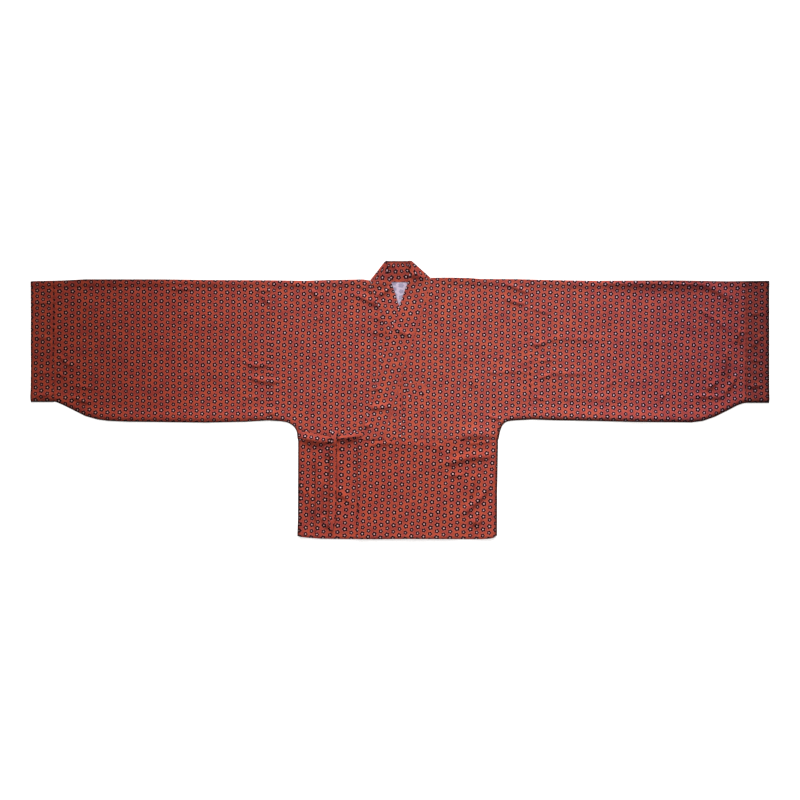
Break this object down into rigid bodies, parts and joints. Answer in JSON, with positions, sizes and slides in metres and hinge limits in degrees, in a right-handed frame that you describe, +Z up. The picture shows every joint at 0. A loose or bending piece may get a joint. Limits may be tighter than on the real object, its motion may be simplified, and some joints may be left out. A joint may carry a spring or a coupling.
{
  "type": "cross-collar hanfu jacket laid flat",
  "caption": "Short cross-collar jacket laid flat, closing left over right, with long straight sleeves, banded neck and cuffs, and a waist panel tied at the side.",
  "frame": {"origin": "centre of the garment's bounding box, on the flat underside of its back", "axes": "+X towards the end of the wearer's left sleeve, +Y from the hem to the shoulders, +Z up out of the front, away from the surface that it lies on"},
  "size_m": [1.9004, 0.7168, 0.009],
  "materials": {
    "printed_cotton": "matt plain-weave cotton with a small repeated flower print"
  },
  "bodies": {
    "root": {"body_left": "printed_cotton", "body_right": "printed_cotton", "collar": "printed_cotton", "cuff_left": "printed_cotton", "cuff_right": "printed_cotton", "overlap_left": "printed_cotton", "overlap_right": "printed_cotton", "sleeve_left": "printed_cotton", "sleeve_right": "printed_cotton", "tie_end": "printed_cotton", "tie_front": "printed_cotton", "tie_knot": "printed_cotton", "tie_side": "printed_cotton", "waist_panel": "printed_cotton"}
  },
  "joints": []
}
